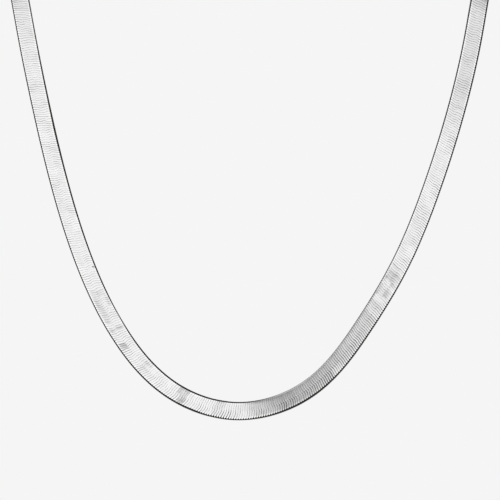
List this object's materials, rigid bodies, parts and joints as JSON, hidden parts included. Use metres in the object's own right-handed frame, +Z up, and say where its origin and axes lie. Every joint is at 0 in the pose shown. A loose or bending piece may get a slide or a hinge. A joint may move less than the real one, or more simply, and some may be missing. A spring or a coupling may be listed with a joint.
{
  "type": "herringbone chain necklace",
  "caption": "Flat herringbone chain necklace in polished silver: a supple band of nested slanted ribs in one closed loop, hanging as worn, with a plain clasp at the nape.",
  "frame": {"origin": "the nape: the middle of the clasp's inner face, which lies on the back of the neck", "axes": "+Z up as worn, -Y out of the hanging front towards the viewer, +X to the viewer's right"},
  "size_m": [0.1154, 0.0653, 0.1486],
  "materials": {
    "chain_silver": "polished silver, finely ribbed",
    "clasp_silver": "polished silver, smooth"
  },
  "bodies": {
    "root": {"chain": "chain_silver", "clasp": "clasp_silver"}
  },
  "joints": []
}
